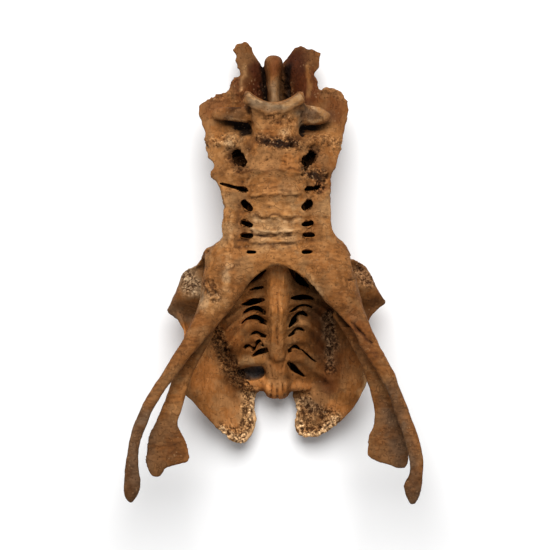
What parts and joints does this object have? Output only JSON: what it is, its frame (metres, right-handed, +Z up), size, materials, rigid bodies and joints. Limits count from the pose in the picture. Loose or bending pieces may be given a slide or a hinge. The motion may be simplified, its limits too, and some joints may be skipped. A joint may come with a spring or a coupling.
{
  "type": "moa pelvis",
  "caption": "Fused pelvis of a large flightless bird, lying on its crest, with a deep open cavity, hip sockets and two pairs of long rear processes.",
  "frame": {"origin": "middle of the base of the bone's box, on the plane it lies on", "axes": "+Z up, away from the crest the bone lies on; +Y along the spine towards the front of the bird; +X to the right seen from above"},
  "size_m": [0.291, 0.4579, 0.1506],
  "materials": {
    "bone": "matte, worn and slightly polished on the raised parts"
  },
  "bodies": {
    "root": {"pelvis": "bone"}
  },
  "joints": []
}
